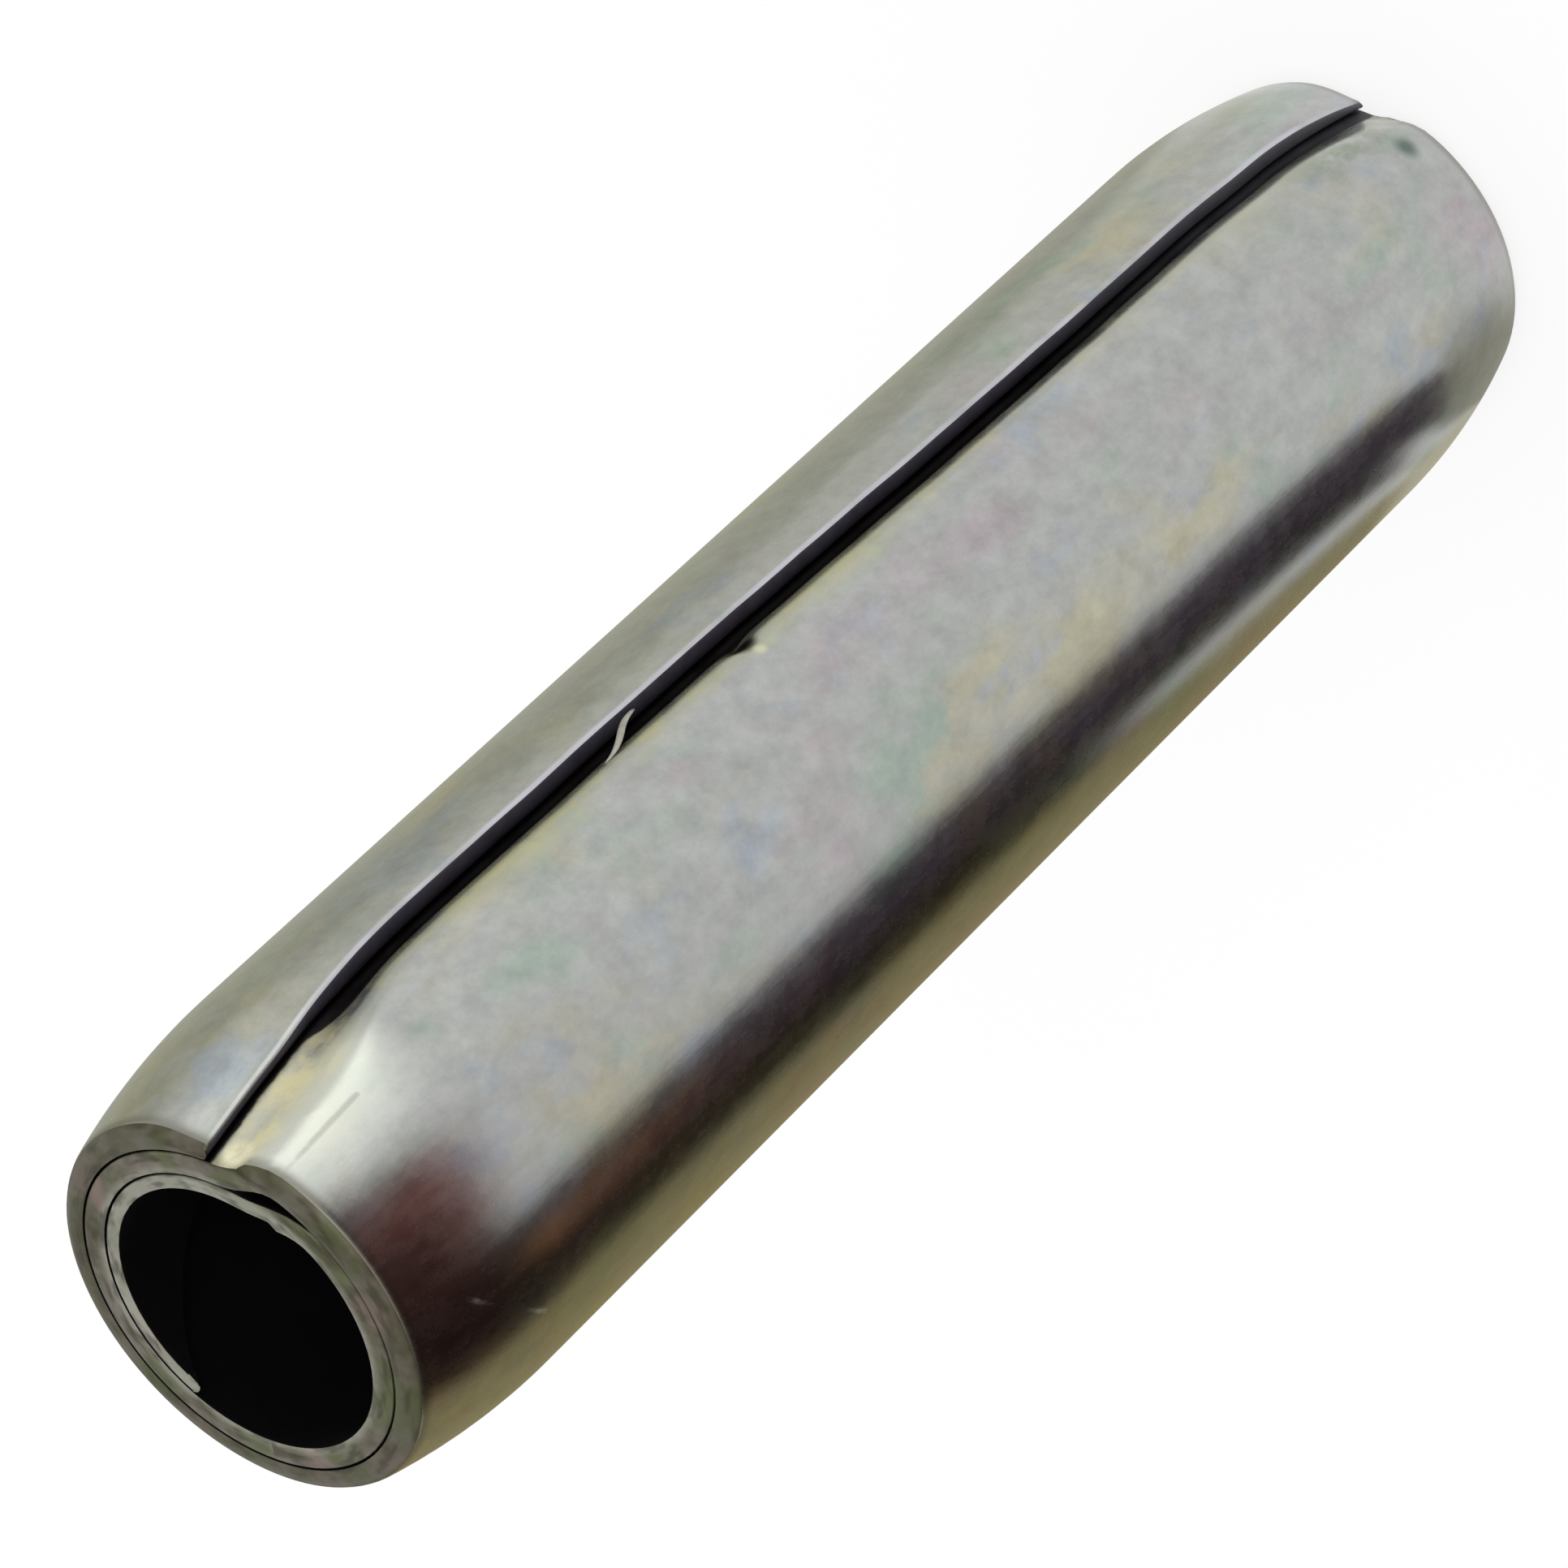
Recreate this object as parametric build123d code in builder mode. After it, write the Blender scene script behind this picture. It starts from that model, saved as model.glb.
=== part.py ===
from build123d import *
from math import cos, degrees, radians, sin
import os

# Spring roll pin: one strip of spring steel rolled up on itself, with both ends squeezed
# narrower so that the pin can start in its hole. Millimetres. The pin stands on its end:
# the origin is the middle of the lower face, Z runs up the pin, and -Y is the front.

# ---- driving dimensions ------------------------------------------------------------------
length = 45.0  # face to face
free_diameter = 10.6  # across the straight body before the pin is driven, for a 10 mm hole
strip_thickness = 0.56
turns = 2.25  # how often the strip goes round, from its outer edge to its inner edge
lap_gap = 0.05  # air between neighbouring laps
seam_angle = -90.0  # the strip's outer edge faces the front

end_narrowing = 1.28  # how much less each end measures across than the body
end_length = 4.7  # how far the narrowing reaches along the pin
end_extra_turn = 0.17  # the coil winds tighter in the ends
end_seam_creep = 7.0  # degrees that the outer edge creeps back round in the ends

edge_radius = 0.13  # on the slit edges of the strip
face_break = 0.07  # on the sheared faces at both ends

# Just ahead of the seam the strip steps in by one lap, to pass under its own outer edge.
# The lap inside is stiffer and steps in sooner. Degrees ahead of the seam: start and end.
outer_step = (25.0, 3.0)
inner_step = (46.0, 8.0)

step_points = 5  # points that carry the curve of one step
end_sections = 6  # sections along the narrowing, with straight walls from one to the next

# ---- worked out from them ----------------------------------------------------------------
free_radius = free_diameter / 2
lap_pitch = strip_thickness + lap_gap
body_length = length - 2 * end_length


# ---- the coil's section ------------------------------------------------------------------
def laps_in(travel):
    """How many laps the strip lies inside its outermost one, after so many degrees."""
    lap = travel // 360
    start, end = outer_step if lap == 0 else inner_step
    share = (start - (360 * (lap + 1) - travel)) / (start - end)
    share = min(max(share, 0), 1)
    return lap + share**3 * (10 - 15 * share + 6 * share**2)


def centre_point(travel, outside_radius, seam):
    reach = outside_radius - strip_thickness / 2 - laps_in(travel) * lap_pitch
    turned = radians(seam + travel)
    return Vector(reach * cos(turned), reach * sin(turned))


def coil_outline(outside_radius, coil_turns, seam, trim):
    """Draw the rolled strip edge-on: arcs round the laps, curves where they step in.

    trim takes a little off the strip all round, where a face's edges are broken.
    """
    half = strip_thickness / 2 - trim
    corner = min(edge_radius, 0.9 * half)
    first = degrees(trim / outside_radius)
    last = 360 * coil_turns - first
    inner_reach = centre_point(last, outside_radius, seam).length
    face_start = first + degrees(corner / outside_radius)
    face_end = last - degrees(corner / inner_reach)

    def run(travel):
        """The way the strip runs."""
        ahead = centre_point(travel + 0.01, outside_radius, seam)
        return (ahead - centre_point(travel - 0.01, outside_radius, seam)).normalized()

    def beside(travel, offset):
        """The point beside the centre line, outward where offset is positive."""
        way = run(travel)
        return centre_point(travel, outside_radius, seam) + offset * Vector(way.Y, -way.X)

    def side(offset):
        """One face of the strip, from its outer edge to its inner edge."""
        start = face_start
        for lap in range(int(coil_turns) + 1):
            step = outer_step if lap == 0 else inner_step
            step_start, step_end = (min(360 * (lap + 1) - ahead, face_end) for ahead in step)
            CenterArc((0, 0), beside(start, offset).length, seam + start, step_start - start)
            if step_end > step_start:
                travelled = (step_end - step_start) / step_points
                stops = [step_start + travelled * i for i in range(step_points + 1)]
                Spline(
                    *[beside(stop, offset) for stop in stops],
                    tangents=[run(step_start), run(step_end)],
                    tangent_scalars=[1, 1],
                )
            start = step_end

    def slit_edge(travel, face_travel, sense):
        """A slit edge of the strip with its two rounded corners; sense points off the strip."""
        middle, off = beside(travel, 0), sense * run(travel)
        out = beside(travel, 1) - middle
        for turn in (-1, 1):
            meet = middle + turn * (half - corner) * out
            bulge = meet + turn * corner * sin(radians(45)) * out
            bulge -= corner * (1 - sin(radians(45))) * off
            ThreePointArc(beside(face_travel, turn * half), bulge, meet)
        Line(middle - (half - corner) * out, middle + (half - corner) * out)

    side(half)
    side(-half)
    slit_edge(first, face_start, -1)
    slit_edge(last, face_end, 1)


def coil_section(height, closed, trim=0):
    """The coil's section at a height: closed runs from 0 in the body to 1 at the end faces."""
    with BuildSketch(Plane.XY.offset(height)) as section:
        with BuildLine():
            coil_outline(
                free_radius - closed * end_narrowing / 2,
                turns + closed * end_extra_turn,
                seam_angle - closed * end_seam_creep,
                trim,
            )
        make_face()
    return section.sketch


# ---- a squeezed end: narrowing along a curve that leaves the body smoothly ------------------
top_of_body = length - end_length
squeezed_length = end_length - face_break

with BuildPart() as squeezed_end:
    stations = [i / (end_sections - 1) for i in range(end_sections)]
    loft([coil_section(top_of_body + s * squeezed_length, s**2) for s in stations], ruled=True)
    # the sheared face, its edges broken
    loft([coil_section(length - face_break, 1), coil_section(length, 1, face_break)])

# ---- the pin: a straight body between two such ends ----------------------------------------
with BuildPart() as coiled_pin:
    add(coil_section(end_length, 0))
    extrude(amount=body_length)
    add(squeezed_end.part)
    mirror(squeezed_end.part, about=Plane.XY.offset(length / 2))

coiled_pin.part.label = "coiled_pin"
os.makedirs("parts", exist_ok=True)
export_step(coiled_pin.part, "parts/coiled_pin.step")
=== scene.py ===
import bmesh
import bpy
from math import atan2, cos, exp, hypot, pi, radians, sin
from mathutils import Matrix, Vector, noise


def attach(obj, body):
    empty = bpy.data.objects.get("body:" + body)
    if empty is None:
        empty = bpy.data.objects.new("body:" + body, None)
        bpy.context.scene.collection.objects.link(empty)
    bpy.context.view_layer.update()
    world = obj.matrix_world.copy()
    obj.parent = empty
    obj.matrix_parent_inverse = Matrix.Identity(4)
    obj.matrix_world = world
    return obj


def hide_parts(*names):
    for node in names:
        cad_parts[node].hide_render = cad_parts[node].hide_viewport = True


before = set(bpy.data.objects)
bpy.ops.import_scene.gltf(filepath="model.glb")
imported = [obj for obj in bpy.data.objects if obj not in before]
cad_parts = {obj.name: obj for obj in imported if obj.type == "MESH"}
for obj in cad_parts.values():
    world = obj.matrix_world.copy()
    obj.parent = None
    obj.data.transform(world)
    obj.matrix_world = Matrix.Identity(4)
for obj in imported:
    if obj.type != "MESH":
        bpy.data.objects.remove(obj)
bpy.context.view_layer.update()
bpy.context.scene.view_settings.view_transform = "Standard"

# ---- The camera ----------------------------------------------------------------------------
# A long lens looks down on the standing pin from its front left, rolled so that the pin lies
# slantwise across the view with its top end nearest.
camera_place = (-0.085199, -0.088574, 0.121837)
camera_heading, camera_tilt, camera_roll = -43.932, 51.72, -133.653
camera_data = bpy.data.cameras.new("camera")
camera_data.lens = 158.99
camera_data.sensor_width = 36
camera_data.clip_start = 0.01
camera = bpy.data.objects.new("camera", camera_data)
bpy.context.scene.collection.objects.link(camera)
camera.matrix_world = (
    Matrix.Translation(camera_place)
    @ Matrix.Rotation(radians(camera_heading), 4, "Z")
    @ Matrix.Rotation(radians(camera_tilt), 4, "X")
    @ Matrix.Rotation(radians(camera_roll), 4, "Z")
)
bpy.context.scene.camera = camera

# ---- The rolled strip ----------------------------------------------------------------------
# One strip of spring steel, slit to width, rolled up on itself two and a quarter turns and
# hardened. Its two ends are squeezed in a die, which winds the coil tighter there and leaves
# the slit edge a little wavy.
mm = 0.001
pin_length = 45 * mm
free_radius = 5.296 * mm
strip_thickness = 0.56 * mm
lap_pitch = 0.585 * mm
turns = 2.25
end_length = 4.7 * mm
end_narrowing = 1.28 * mm
end_extra_turn = 0.17
seam_line = [  # height in mm and angle in degrees of the outer slit edge, from foot to top
    (0, -100.6), (1.5, -99.8), (3.7, -98.4), (5.8, -96.8), (7.8, -95.4), (12, -95.1),
    (15, -94.2), (18, -93.2), (21, -91.8), (24, -90.6), (27, -89.5), (30, -88.9), (33, -88.6),
    (36.5, -87.9), (38.4, -88.2), (39.7, -89.2), (41, -90.5), (41.8, -91.6), (43, -92.5),
    (44.1, -93.3), (45, -93.4),
]
waver_angle, waver_length, waver_start = 0.25, 1.6 * mm, 8.4
drawn_tight_from, drawn_tight_over = 38.8 * mm, 4.2 * mm
# the steps in to the next lap, from and to so many degrees ahead of the seam
body_step = (14.5, 1.5)
end_step = (27, 1)
inner_step = (46, 8)


def laps_in(travel, closed):
    """How many laps the strip lies inside its outermost one, after so many degrees.

    Just ahead of the seam it steps in by one lap, over a longer way in the squeezed ends.
    """
    lap = travel // 360
    if lap == 0:
        start, end = (b + (e - b) * closed for b, e in zip(body_step, end_step))
    else:
        start, end = inner_step
    share = min(max((start - (360 * (lap + 1) - travel)) / (start - end), 0), 1)
    return lap + share**3 * (10 - 15 * share + 6 * share**2)


def squeeze(z):
    """How far the coil is closed at a height: 0 in the body, 1 at the end faces."""
    into_end = max(end_length - z, z - (pin_length - end_length), 0)
    return (into_end / end_length) ** 2


def seam_angle(z):
    """The angle of the outer slit edge at a height, evened out over 1 mm, with its waver."""
    waver = noise.noise(Vector((z / waver_length, waver_start, 0)))
    angle = waver_angle * waver * (1 - squeeze(z))
    for nudge in (-0.5, -0.25, 0, 0.25, 0.5):
        height = min(max(z / mm + nudge, seam_line[0][0]), seam_line[-1][0])
        for (low, first), (high, second) in zip(seam_line, seam_line[1:]):
            if low <= height <= high:
                angle += (first + (second - first) * (height - low) / (high - low)) / 5
                break
    return angle


def tightened(z):
    """How far the top end is drawn tight over its seam: 0 in the body, 1 above."""
    share = min(max((z - drawn_tight_from) / drawn_tight_over, 0), 1)
    return share**2 * (3 - 2 * share)


def rolled(travel, z):
    """A point of the strip's middle surface, so many degrees on from its outer slit edge."""
    closed = squeeze(z)
    reach = free_radius - closed * end_narrowing / 2 - strip_thickness / 2
    reach -= laps_in(travel, max(closed, tightened(z))) * lap_pitch
    turned = radians(seam_angle(z) + travel)
    return reach * cos(turned), reach * sin(turned), z


def stations(runs):
    """Positions along a run that is divided finely in some stretches: (end, how many)."""
    places = [0.0]
    for end, count in runs:
        start = places[-1]
        places += [start + (end - start) * (i + 1) / count for i in range(count)]
    return places


def new_grid(name, columns, rows):
    """A flat grid of so many faces each way, one metre square, with nothing else selected."""
    bpy.ops.object.select_all(action="DESELECT")
    bpy.ops.mesh.primitive_grid_add(x_subdivisions=columns, y_subdivisions=rows, size=1)
    made = bpy.context.object
    made.name = made.data.name = name
    return made


full_travel = 360 * turns
around = stations([  # degrees on from the outer slit edge
    (1.8, 1), (20, 9), (330, 96), (360, 34), (674, 84), (720, 26),
    (full_travel - 6, 14), (full_travel - 1.9, 1), (full_travel, 1),
])
up = stations([  # mm above the foot
    (0.1, 1), (0.5, 5), (4.7, 18), (6, 4), (25.2, 26), (27.4, 16), (39, 26), (40.3, 6),
    (42.3, 16), (44.5, 10), (44.9, 5), (45, 1),
])
columns, rows = len(around) - 1, len(up) - 1
strip = new_grid("rolled_strip", columns, rows)
for vert in strip.data.vertices:
    travel = around[round((vert.co.x + 0.5) * columns)]
    height = up[round((vert.co.y + 0.5) * rows)] * mm
    wound_on = 1 + end_extra_turn * squeeze(height) / turns
    vert.co = rolled(travel * wound_on, height)

# the sheet is given its thickness, and both its sides are then cut off level at the ends
heights = [vert.co.z for vert in strip.data.vertices]
thickness = strip.modifiers.new("thickness", "SOLIDIFY")
thickness.thickness = strip_thickness
thickness.offset = 0
thickness.use_even_offset = True
bpy.ops.object.modifier_apply(modifier=thickness.name)
for number, vert in enumerate(strip.data.vertices):
    vert.co.z = heights[number % len(heights)]

# The die rounds the rim of each end, presses the outer edge almost flush there and thins the
# inner end. A nick beside the seam is left from the slitting. The skins say how deep the coil's
# outer face reaches and from how deep on its innermost face is.
rim_radius, rim_pressing = 0.3 * mm, 0.7
edge_pressing, pressed_from, pressed_spread = 0.26 * mm, radians(60), radians(13)
inner_thinning = 0.2 * mm
outer_skin, inner_skin = 0.35 * mm, 1.5 * mm
nick_angle, nick_height, nick_reach = radians(-97.6), 26.35 * mm, 5.0 * mm
nick_depth, nick_spread, nick_within = 0.2 * mm, 0.36 * mm, 4.6 * mm
nick = Vector((nick_reach * cos(nick_angle), nick_reach * sin(nick_angle), nick_height))
for vert in strip.data.vertices:
    closed = squeeze(vert.co.z)
    outside = free_radius - closed * end_narrowing / 2
    reach = hypot(vert.co.x, vert.co.y)
    past_seam = (atan2(vert.co.y, vert.co.x) - radians(seam_angle(vert.co.z))) % (2 * pi)
    to_face = max(min(vert.co.z, pin_length - vert.co.z), 0)
    pushed = 0
    if reach > outside - outer_skin:
        if to_face < rim_radius:
            rounding = rim_radius - (rim_radius**2 - (rim_radius - to_face) ** 2) ** 0.5
            pushed -= rim_pressing * rounding
        if past_seam < pressed_from:
            pressed = max(closed, tightened(vert.co.z)) * exp(-((past_seam / pressed_spread) ** 2))
            pushed -= edge_pressing * pressed
    if reach < outside - inner_skin:
        pushed += inner_thinning * closed
    if reach > nick_within:
        pushed -= nick_depth * exp(-(((vert.co - nick).length / nick_spread) ** 2))
    vert.co.x *= 1 + pushed / reach
    vert.co.y *= 1 + pushed / reach
strip.data.update()

slit_edge_radius = 0.12 * mm
face_break = 0.04 * mm
level = 0.001 * mm
sharp = radians(60)
smoothed_below = radians(35)


def select_sharp_edges(mesh, wanted):
    """Select the sharp edges whose middle and direction are the wanted ones, in edit mode."""
    bpy.ops.object.mode_set(mode="EDIT")
    bpy.ops.mesh.select_mode(type="EDGE")
    bpy.ops.mesh.select_all(action="DESELECT")
    cage = bmesh.from_edit_mesh(mesh)
    for edge in cage.edges:
        if edge.is_manifold and edge.calc_face_angle() > sharp:
            a, b = (vert.co for vert in edge.verts)
            if wanted((a + b) / 2, (b - a).normalized()):
                edge.select = True
    bmesh.update_edit_mesh(mesh)


def along_the_slit(middle, way):
    return abs(way.z) > 0.5


def round_an_end_face(middle, way):
    return abs(way.z) < 0.2 and (middle.z < level or middle.z > pin_length - level)


select_sharp_edges(strip.data, along_the_slit)
bpy.ops.mesh.bevel(offset=slit_edge_radius, segments=3, clamp_overlap=False)
select_sharp_edges(strip.data, round_an_end_face)
bpy.ops.mesh.bevel(offset=face_break, segments=2, clamp_overlap=False)
bpy.ops.object.mode_set(mode="OBJECT")
bpy.ops.object.shade_smooth_by_angle(angle=smoothed_below)
seam_place = strip.data.attributes.new("seam_place", "FLOAT", "POINT")
for vert, place in zip(strip.data.vertices, seam_place.data):
    place.value = seam_angle(vert.co.z) + 90

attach(strip, "root")
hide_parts("coiled_pin")

# Spring steel after hardening and plating: a satin grey with a faint, patchy yellow, green and
# pink bloom, fine rolling grain along the strip, and the bore painted almost black as painted
# shade.


class Value:
    """A shader socket that takes part in arithmetic."""

    def __init__(self, shader, socket):
        self.shader, self.socket = shader, socket

    def combine(self, operation, *others):
        return self.shader.node("ShaderNodeMath", {"operation": operation}, *others)[0]

    def __add__(self, other):
        return self.combine("ADD", self, other)

    __radd__ = __add__

    def __sub__(self, other):
        return self.combine("SUBTRACT", self, other)

    def __rsub__(self, other):
        return self.combine("SUBTRACT", other, self)

    def __mul__(self, other):
        return self.combine("MULTIPLY", self, other)

    __rmul__ = __mul__

    def __truediv__(self, other):
        return self.combine("DIVIDE", self, other)

    def __pow__(self, other):
        return self.combine("POWER", self, other)


class Finish:
    """A material under construction."""

    def __init__(self, name):
        self.material = bpy.data.materials.new(name)
        self.material.use_nodes = True
        self.tree = self.material.node_tree
        self.tree.nodes.clear()

    def feed(self, socket, value):
        """Link a value to a socket, or write a number or colour in it."""
        if isinstance(value, Value):
            self.tree.links.new(value.socket, socket)
        else:
            socket.default_value = value

    def node(self, kind, settings=None, *values, **named):
        """Add a node: its settings first, then its sockets by order or by name."""
        made = self.tree.nodes.new(kind)
        for setting, value in (settings or {}).items():
            setattr(made, setting, value)
        for number, value in enumerate(values):
            self.feed(made.inputs[number], value)
        for name, value in named.items():
            self.feed(made.inputs[name.replace("_", " ")], value)
        return [Value(self, out) for out in made.outputs if out.enabled]

    def mix(self, amount, low, high, blend="MIX"):
        """A colour between two others."""
        mixer = self.tree.nodes.new("ShaderNodeMix")
        mixer.data_type, mixer.blend_type = "RGBA", blend
        self.feed(mixer.inputs[0], amount)
        for socket, colour in ((mixer.inputs[6], low), (mixer.inputs[7], high)):
            self.feed(socket, colour if isinstance(colour, Value) else (*colour, 1))
        return Value(self, mixer.outputs[2])

    def smooth(self, value, low, high):
        """0 at low, 1 at high and beyond, with a soft slope between."""
        return self.node(
            "ShaderNodeMapRange", {"interpolation_type": "SMOOTHSTEP"}, value, low, high
        )[0]

    def larger(self, one, other):
        return self.node("ShaderNodeMath", {"operation": "MAXIMUM"}, one, other)[0]

    def noise(self, place, scale, detail=2.0, rough=0.5, stretch=(1, 1, 1), shift=(0, 0, 0)):
        """A cloudy pattern from 0 to 1."""
        moved = self.node("ShaderNodeMapping", None, place, shift, (0, 0, 0), stretch)[0]
        return self.node(
            "ShaderNodeTexNoise", None, Vector=moved, Scale=scale, Detail=detail, Roughness=rough
        )[0]

    def bump(self, strength, depth, height):
        return self.node(
            "ShaderNodeBump", None, Strength=strength, Distance=depth, Height=height
        )[0]

    def finish(self, shader):
        """Close the material with its shader."""
        self.node("ShaderNodeOutputMaterial", None, shader)
        return self.material

    def metal(self, **sockets):
        """Close the material with a principled surface."""
        return self.finish(self.node("ShaderNodeBsdfPrincipled", None, **sockets)[0])


def on_the_pin(finish):
    """Where a point lies: its place, degrees past the seam, height, depth and squeeze.

    The depth is measured inwards from the outside of the coil.
    """
    place = finish.node("ShaderNodeTexCoord")[3]
    x, y, z = finish.node("ShaderNodeSeparateXYZ", None, place)
    reach = (x * x + y * y) ** 0.5
    angle = finish.node("ShaderNodeMath", {"operation": "ARCTAN2"}, x, 0 - y)[0] * (180 / pi)
    past_seam = angle - finish.node("ShaderNodeAttribute", {"attribute_name": "seam_place"})[2]
    from_middle = finish.node("ShaderNodeMath", {"operation": "ABSOLUTE"}, z - pin_length / 2)[0]
    into_end = finish.larger(from_middle - (pin_length / 2 - end_length), 0.0)
    closed = (into_end / end_length) ** 2.0
    depth = free_radius - closed * (end_narrowing / 2) - reach
    return place, past_seam, z, depth, closed


steel = Finish("plated_spring_steel")
place, past_seam, height, depth, closed = on_the_pin(steel)

# the plating's bloom: broad pale clouds of four tints on grey, and a fine speckle
grey = (0.415, 0.425, 0.41)
warm = (0.44, 0.42, 0.315)
green = (0.345, 0.41, 0.36)
pink = (0.42, 0.37, 0.39)
blue = (0.37, 0.405, 0.445)
dark_speck, light_speck = (0.2, 0.2, 0.2), (0.8, 0.8, 0.8)
cloud = steel.noise(place, 300, 3, 0.6, (1, 1, 0.55))
cloud_two = steel.noise(place, 480, 3, 0.6, (1, 1, 0.6), (0.02, 0.05, 0.01))
speck = steel.noise(place, 1500, 3, 0.7, (1, 1, 0.8))
colour = steel.mix(steel.smooth(cloud, 0.5, 0.72), grey, warm)
colour = steel.mix(steel.smooth(cloud_two, 0.52, 0.74), colour, green)
colour = steel.mix(steel.smooth(cloud, 0.46, 0.28), colour, pink)
colour = steel.mix(steel.smooth(cloud_two, 0.46, 0.3), colour, blue)
colour = steel.mix(0.5, colour, steel.mix(speck, dark_speck, light_speck), "OVERLAY")

# It has stayed yellow, and mossy near the foot, where the strip dips to the seam. Where the top
# end is drawn tight, the dip is painted a brighter straw and the wall before it a bright silver:
# painted highlights. Before the seam the angles here are negative.
yellow = (0.46, 0.45, 0.27)
straw_highlight = (0.66, 0.60, 0.34)
highlight_silver = (0.68, 0.70, 0.64)
moss_green = (0.225, 0.275, 0.21)
tight = steel.smooth(height, 40.2 * mm, 41.7 * mm)
foot = steel.smooth(height, 22 * mm, 10 * mm)
before_seam = steel.smooth(past_seam, 0, -1)
blotch = steel.noise(place, 1100, 3, 0.65, (1, 1, 0.8), (0.01, 0, 0.03))
blotch = steel.smooth(blotch, 0.36, 0.62)
dip = steel.smooth(past_seam + (cloud_two - 0.5) * 18 + foot, -18, -9) * before_seam
dip = dip * (0.3 + 0.7 * blotch)
# painted highlight: at the top end the wall before the dip is painted a bright silver
tight_highlight = tight * steel.smooth(past_seam, -36, -15) * before_seam
colour = steel.mix(tight_highlight * 0.75, colour, highlight_silver)
# the dip's yellow tint, painted a brighter straw at the top end as a painted highlight
colour = steel.mix(dip * (0.85 - foot * 0.45), colour, steel.mix(tight, yellow, straw_highlight))
moss = steel.smooth(height, 6 * mm, 3 * mm) * steel.smooth(past_seam, -26, -13) * blotch
colour = steel.mix(moss * before_seam * 0.75, colour, moss_green)

# the heat left a reddish blush on one side of the top end, the slit edge has a pale lip, and
# the end rims are painted a darker brown: painted shade that keeps their rounding dim
heat_red = (0.40, 0.27, 0.235)
rim_shade_brown = (0.17, 0.155, 0.11)
lip_white = (0.55, 0.55, 0.60)
blush = steel.smooth(height, 41.6 * mm, 43 * mm) * steel.smooth(past_seam, -41, -53)
blush = blush * steel.smooth(past_seam, -108, -92) * (0.75 + 0.5 * (cloud - 0.5))
colour = steel.mix(blush, colour, heat_red)
lip = steel.smooth(past_seam, -1.5, -0.2) * steel.smooth(past_seam, 1.9, 0.7)
lip = lip * steel.smooth(depth, 0.3 * mm, 0.15 * mm) * steel.smooth(cloud_two, 0.3, 0.6)
colour = steel.mix(lip, colour, lip_white)
# painted shade: the rounded end rims are painted a darker brown
rim_shade = steel.smooth(closed + (speck - 0.5) * 0.06, 0.80, 0.93)
colour = steel.mix(rim_shade * 0.7, colour, rim_shade_brown)

# painted shade: the crevice at the seam and everything deeper than the outer lap are painted near
# black
ragged = past_seam + (speck - 0.5) * 2.4 - tight * 4.5 - foot * 1.2
crevice_shade = steel.smooth(ragged, -6.8, -5.4) * steel.smooth(depth, 0.26 * mm, 0.4 * mm)
crevice_shade = steel.larger(crevice_shade, steel.smooth(depth, 0.60 * mm, 0.66 * mm))


def on_wall(angle, height, reach=5.3):
    """A place on the pin by its angle in degrees, its height and its distance from the axis."""
    return (reach * mm * cos(radians(angle)), reach * mm * sin(radians(angle)), height * mm)


def patch(finish, place, spot, size, softness):
    """1 at a spot on the pin, 0 beyond its size."""
    away = finish.node("ShaderNodeVectorMath", {"operation": "DISTANCE"}, place, spot)[0]
    return finish.smooth(away, (size + softness) * mm, (size - softness) * mm)


def scratch(finish, place, start, end, width):
    """1 along a straight scratch from one point to another, 0 beside it."""
    way = Vector(end) - Vector(start)
    offset = finish.node("ShaderNodeVectorMath", {"operation": "SUBTRACT"}, place, start)[0]
    along = finish.node(
        "ShaderNodeVectorMath", {"operation": "DOT_PRODUCT"}, offset, way / way.length_squared
    )[0]
    along = finish.node("ShaderNodeClamp", None, along)[0]
    foot_point = finish.node("ShaderNodeVectorMath", {"operation": "SCALE"}, way, Scale=along)[0]
    away = finish.node("ShaderNodeVectorMath", {"operation": "DISTANCE"}, offset, foot_point)[0]
    return finish.smooth(away, width * mm, width * 0.3 * mm)


# marks: the nick and a bright chip by it, a smudge, a crease painted as a thin line of shade, a
# scrape, and a glint at the mouth painted as a highlight
nick_brown = (0.022, 0.016, 0.008)
chip_pale = (0.6, 0.6, 0.45)
smudge_green = (0.06, 0.11, 0.08)
crease_shade_grey = (0.2, 0.2, 0.18)
scrape_pale = (0.75, 0.70, 0.62)
glint_highlight_straw = (0.86, 0.83, 0.60)
nicked = patch(steel, place, on_wall(-98.6, 26.4, 5.1), 0.40, 0.14)
colour = steel.mix(nicked, colour, nick_brown)
chip = patch(steel, place, on_wall(-104.4, 26.35), 0.14, 0.1)
colour = steel.mix(chip, colour, chip_pale)
smudge = patch(steel, place, on_wall(-124, 1.3, 5.0), 0.3, 0.22)
colour = steel.mix(smudge * 0.8, colour, smudge_green)
# painted shade: a thin darker grey line along a crease
crease_shade = scratch(steel, place, on_wall(-116.6, 42.4, 5.2), on_wall(-116.6, 44.7, 4.8), 0.11)
colour = steel.mix(crease_shade * 0.45, colour, crease_shade_grey)
scrape = scratch(steel, place, on_wall(-171.8, 43.25, 5.05), on_wall(-191, 41.32, 5.27), 0.09)
scrape = scrape * steel.smooth(speck, 0.3, 0.7)
colour = steel.mix(scrape * 0.7, colour, scrape_pale)
# painted highlight: a bright straw spot at the mouth of the seam
painted_glint = patch(steel, place, on_wall(-100.5, 44.6, 4.25), 0.34, 0.16)
colour = steel.mix(painted_glint, colour, glint_highlight_straw)

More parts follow.
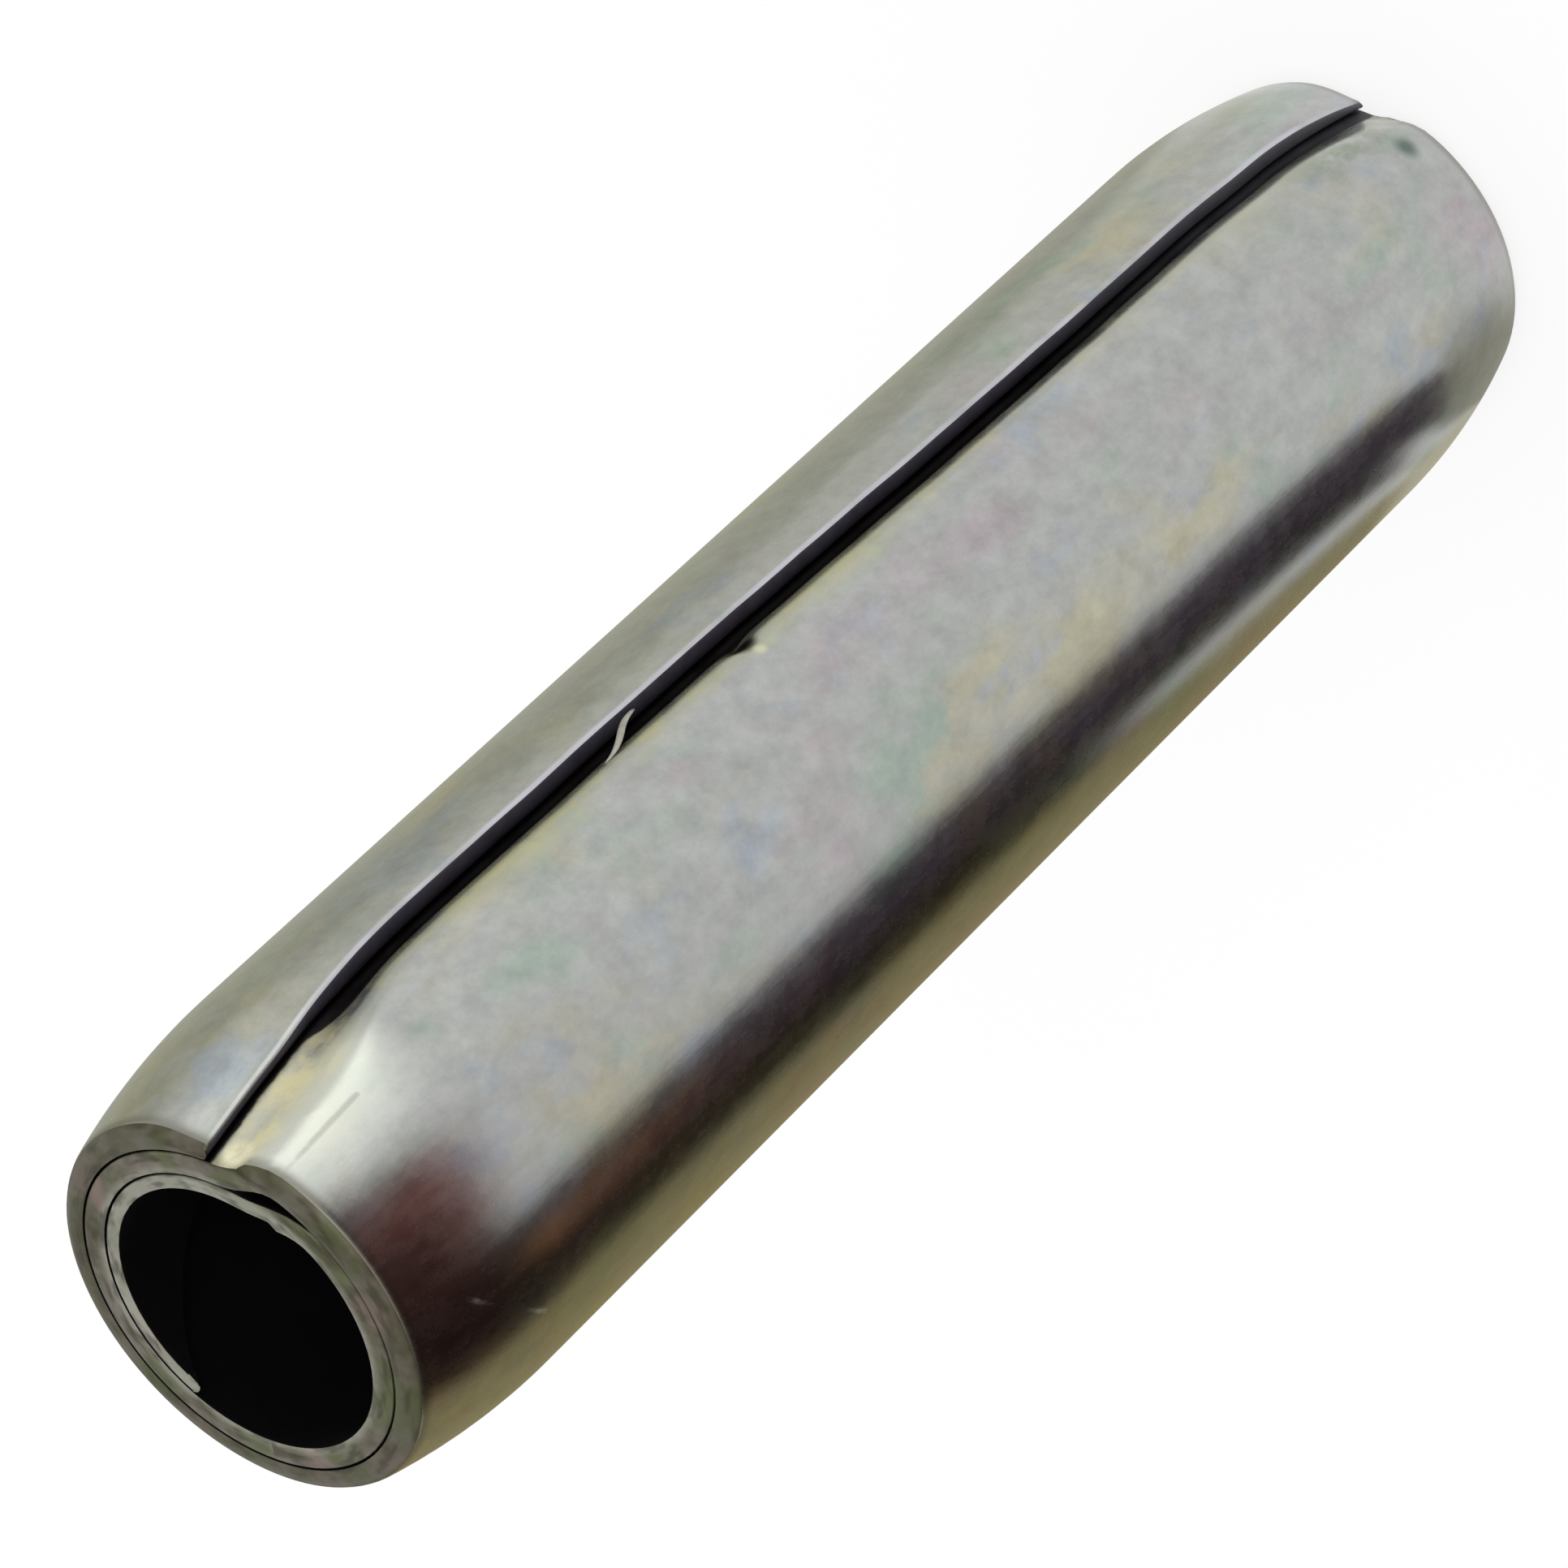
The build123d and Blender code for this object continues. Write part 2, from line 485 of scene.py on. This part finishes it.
# the crevice's painted shade is greyer at the foot, and an olive crust sits in the nick
shade_black = (0.008, 0.006, 0.007)
foot_shade_grey = (0.05, 0.05, 0.056)
olive_brown = (0.16, 0.15, 0.075)
crevice_shade_colour = steel.mix(steel.smooth(height, 14 * mm, 2 * mm), shade_black, foot_shade_grey)
colour = steel.mix(crevice_shade, colour, crevice_shade_colour)
olive = patch(steel, place, on_wall(-96.3, 26.55, 4.75), 0.20, 0.12)
colour = steel.mix(olive * 0.8, colour, olive_brown)

# the rolling grain runs along the strip
grain = steel.noise(place, 5200, 2, 0.6, (1, 1, 0.06))
plated = steel.metal(
    Base_Color=colour,
    Metallic=1 - dip * (0.25 + tight * 0.4) - scrape * 0.12,
    Roughness=0.27 + (grain - 0.5) * 0.08 + (speck - 0.5) * 0.10 + crevice_shade * 0.3,
    Normal=steel.bump(0.12, 0.02 * mm, grain * 0.6 + speck),
)

# the sheared faces are bare: dull, darker, smeared round by the cutter
shear_brown, shear_grey = (0.075, 0.07, 0.04), (0.20, 0.18, 0.15)
shear_green, shear_rust = (0.105, 0.125, 0.055), (0.22, 0.16, 0.14)
outer_olive, inner_lit_pale = (0.075, 0.072, 0.045), (0.42, 0.42, 0.36)
ring_brown = (0.045, 0.04, 0.025)
smeared_per_degree = 0.02 * mm  # a small step round, so that the pattern is drawn out there
bare = Finish("bare_sheared_face")
place, past_seam, _, depth, _ = on_the_pin(bare)
smear = bare.noise(place, 900, 3, 0.6)
broad = bare.noise(place, 620, 3, 0.6, (1, 1, 1), (0.01, 0.03, 0))
drawn_round = bare.node("ShaderNodeCombineXYZ", None, depth, past_seam * smeared_per_degree)[0]
rings = bare.noise(drawn_round, 3000, 2, 0.6)
colour = bare.mix(bare.smooth(smear, 0.3, 0.7), shear_brown, shear_grey)
colour = bare.mix(bare.smooth(broad, 0.47, 0.62) * 0.8, colour, shear_green)
colour = bare.mix(bare.smooth(broad, 0.47, 0.34) * 0.7, colour, shear_rust)
outer_lap = bare.smooth(depth, 0.62 * mm, 0.5 * mm)
colour = bare.mix(outer_lap * 0.45, colour, outer_olive)
# painted highlight: the inner laps by the bore are painted paler, as where their edges catch the
# light
inner_lap_lit = bare.smooth(depth, 0.85 * mm, 1.2 * mm) * (0.35 + 0.4 * smear)
colour = bare.mix(inner_lap_lit, colour, inner_lit_pale)
colour = bare.mix(bare.smooth(rings, 0.45, 0.66) * 0.65, colour, ring_brown)
sheared = bare.metal(
    Base_Color=colour,
    Metallic=1.0,
    Roughness=0.38 + smear * 0.15,
    Normal=bare.bump(0.3, 0.03 * mm, smear + rings),
)

# the slit edges are painted a dark blue-grey, greyer on the edge's foot, and the bore and the
# inner laps near black: painted shade
crust_dark, crust_light = (0.03, 0.026, 0.040), (0.075, 0.068, 0.092)
bore_shade_black = (0.006, 0.005, 0.006)
edge_grey = (0.14, 0.14, 0.16)
scale = Finish("dark_edges_and_bore_shade")
place, _, height, depth, _ = on_the_pin(scale)
crust = scale.noise(place, 2200, 3, 0.65)
colour = scale.mix(crust, crust_dark, crust_light)
# painted shade: the bore and the inner laps deeper down are painted near black
colour = scale.mix(scale.smooth(depth, 0.25 * mm, 0.6 * mm), colour, bore_shade_black)
greyed = scale.smooth(height, 16 * mm, 2 * mm) * scale.smooth(depth, 0.8 * mm, 0.6 * mm)
colour = scale.mix(greyed * 0.6, colour, edge_grey)
black = scale.metal(
    Base_Color=colour,
    Metallic=0.6,
    Roughness=0.5 + crust * 0.15,
    Normal=scale.bump(0.3, 0.03 * mm, crust),
)

# bare metal on the end faces, the dark edges and painted bore shade on all that doesn't face
# outwards, plating on the rest
sheared_within = 0.19 * mm
faces_up_above = 0.35
faces_out_above = 0.5
for finish in (plated, sheared, black):
    strip.data.materials.append(finish)
for face in strip.data.polygons:
    outward = Vector((face.center.x, face.center.y, 0)).normalized()
    from_end = pin_length / 2 - abs(face.center.z - pin_length / 2)
    if from_end < sheared_within and abs(face.normal.z) > faces_up_above:
        face.material_index = 1
    elif face.normal.dot(outward) < faces_out_above:
        face.material_index = 2
    else:
        face.material_index = 0

# ---- The burr ------------------------------------------------------------------------------
# A thin curl of steel that the slitting knife left on the strip's edge. It hangs on at the
# edge, lies across the crevice and tapers off to a point.
burr_line = [  # angle in degrees, then height, distance from the axis and half width in mm
    (-89.9, 29.30, 5.05, 0.03), (-91.2, 29.50, 5.20, 0.05), (-91.9, 29.85, 5.23, 0.07),
    (-93.4, 30.18, 5.22, 0.085), (-95.2, 30.47, 5.20, 0.08), (-96.9, 30.88, 5.16, 0.055),
    (-97.3, 31.30, 5.13, 0.015),
]
burr_thickness = 0.05 * mm
burr_crown, burr_slant = 0.03, 0.4
lengths = len(burr_line) - 1
burr = new_grid("seam_burr", 2, lengths)
for vert in burr.data.vertices:
    azimuth, height, reach, half_width = burr_line[round((vert.co.y + 0.5) * lengths)]
    side = round(vert.co.x * 2)
    turned = radians(azimuth + side * half_width / reach * 180 / pi)
    reach += burr_crown * (side == 0)
    height += burr_slant * side * half_width
    vert.co = Vector((reach * cos(turned), reach * sin(turned), height)) * mm
body = burr.modifiers.new("body", "SOLIDIFY")
body.thickness = burr_thickness
body.offset = 0
rounding = burr.modifiers.new("rounding", "SUBSURF")
rounding.levels = rounding.render_levels = 2
for step in (body, rounding):
    bpy.ops.object.modifier_apply(modifier=step.name)
bpy.ops.object.mode_set(mode="EDIT")
bpy.ops.mesh.select_all(action="SELECT")
bpy.ops.mesh.normals_make_consistent(inside=False)
bpy.ops.object.mode_set(mode="OBJECT")
bpy.ops.object.shade_smooth()

torn_grey, torn_bright = (0.26, 0.24, 0.21), (0.52, 0.50, 0.47)
curl = Finish("bright_burr")
torn = curl.noise(curl.node("ShaderNodeTexCoord")[3], 4000, 2, 0.6)
burr.data.materials.append(
    curl.metal(
        Base_Color=curl.mix(torn, torn_grey, torn_bright),
        Metallic=1.0,
        Roughness=0.35 + torn * 0.1,
        Normal=curl.bump(0.3, 0.02 * mm, torn),
    )
)
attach(burr, "root")

# ---- The floor, room and lamp --------------------------------------------------------------
# A plain pale floor in a plain white room, with one soft lamp. The camera, glossy and
# transmitted rays see the floor white, and it keeps the pin's soft shadow.
white = (1, 1, 1, 1)
floor_paint = (0.95, 0.95, 0.95, 1)
own_light_share = 0.82
bpy.ops.object.select_all(action="DESELECT")
bpy.ops.mesh.primitive_plane_add(size=6)
floor = bpy.context.object
floor.name = "floor"
paper = Finish("pale_floor")
ray = paper.tree.nodes.new("ShaderNodeLightPath").outputs
seen = Value(paper, ray["Is Camera Ray"]) + Value(paper, ray["Is Transmission Ray"])
mirrored = Value(paper, ray["Is Glossy Ray"])
lit = paper.node("ShaderNodeBsdfDiffuse", None, floor_paint)[0]
glow = paper.node("ShaderNodeEmission", None, white, 1.0)[0]
half_lit = paper.node("ShaderNodeMixShader", None, own_light_share, lit, glow)[0]
as_seen = paper.node("ShaderNodeMixShader", None, seen, lit, half_lit)[0]
floor.data.materials.append(
    paper.finish(paper.node("ShaderNodeMixShader", None, mirrored, as_seen, glow)[0])
)

room = bpy.data.worlds.new("room")
room.use_nodes = True
room.node_tree.nodes["Background"].inputs["Color"].default_value = white
room.node_tree.nodes["Background"].inputs["Strength"].default_value = 1.0
bpy.context.scene.world = room

key_light = bpy.data.lights.new("key", "AREA")
key_light.size, key_light.energy = 0.3, 0.6
key = bpy.data.objects.new("key", key_light)
bpy.context.scene.collection.objects.link(key)
key.location = (-0.25, -0.35, 0.45)
pin_middle = Vector((0, 0, pin_length / 2))
key.rotation_euler = (pin_middle - key.location).to_track_quat("-Z", "Y").to_euler()

# ---- The cards -----------------------------------------------------------------------------
# Cards of coloured paper lie round the pin, out of view, and only glossy rays see them. They
# draw the long dark band along its side, the dull rims of its wall and the dark patch on its
# top end.
camera_side = -133.8
no_fade = (1, 1, 1)
card_cream = (0.86, 0.86, 0.80)


def card(name, start, end, near, far, height, colour, rise=0, fade=0, faded=no_fade):
    """A card between two angles from the camera's side and two distances, flat or standing.

    start is its first angle at its near and at its far edge. Over a share of its width the
    card may fade in from another colour.
    """
    made = new_grid(name, 24, 2)
    for vert in made.data.vertices:
        row = vert.co.y + 0.5
        first = start[0] + (start[1] - start[0]) * row
        turned = radians(camera_side + first + (vert.co.x + 0.5) * (end - first))
        out = (near + (far - near) * row) * mm
        vert.co = (out * cos(turned), out * sin(turned), (height + rise * row) * mm)
    felt = Finish(name)
    shown = felt.node("ShaderNodeEmission", None, (*colour, 1), 1.0)[0]
    if fade:
        along = felt.node("ShaderNodeSeparateXYZ", None, felt.node("ShaderNodeTexCoord")[2])[0]
        other = felt.node("ShaderNodeEmission", None, (*faded, 1), 1.0)[0]
        share = felt.smooth(along, 0, fade)
        shown = felt.node("ShaderNodeMixShader", None, share, other, shown)[0]
    made.data.materials.append(felt.finish(shown))
    made.visible_camera = made.visible_diffuse = made.visible_shadow = False
    made.visible_transmission = False


card("band_card", (-63, -57), -86, 8.5, 60, 0.10, (0.045, 0.026, 0.046))
card("band_core_card", (-84, -84), -98, 10.5, 25, 0.11, (0.018, 0.013, 0.006))
card("band_core_card_far", (-84, -84), -108, 25, 60, 0.11, (0.018, 0.013, 0.006))
card("far_band_card", (-57, -57), -108, 60, 700, 0.12, (0.014, 0.008, 0.008))
card("right_rim_card", (-106, -108), -190, 5, 700, 0.14, (0.36, 0.31, 0.16))
card("left_card", (52, 64), 106, 5, 700, 0.15, card_cream, fade=0.5)
card("left_rim_card", (92, 92), 172, 5, 700, 0.16, (0.55, 0.55, 0.45), fade=0.2, faded=card_cream)
card("patch_card_dim", (-4, 8), -30, 108, 700, 0.18, (0.14, 0.05, 0.045))
card("patch_card_dark", (-28, -28), -62, 90, 700, 0.20, (0.03, 0.006, 0.003))
card("standing_card", (8, 8), -112, 700, 701, 0.22, (0.03, 0.02, 0.02), rise=260)
card("red_card", (-8, -8), -46, 90, 112, 0.22, (0.30, 0.07, 0.07))
card("orange_card", (-68, -68), -80, 62, 76, 0.24, (0.55, 0.25, 0.10))
card("bright_card", (12, 12), 70, 95, 700, 0.26, (1.65, 1.68, 1.6))
card("foot_card", (-30, -36), -92, 4, 8.7, 0.28, (0.42, 0.41, 0.34), fade=0.55)
card("foot_rim_card", (-88, -100), -190, 4, 9.4, 0.30, (0.68, 0.64, 0.46))
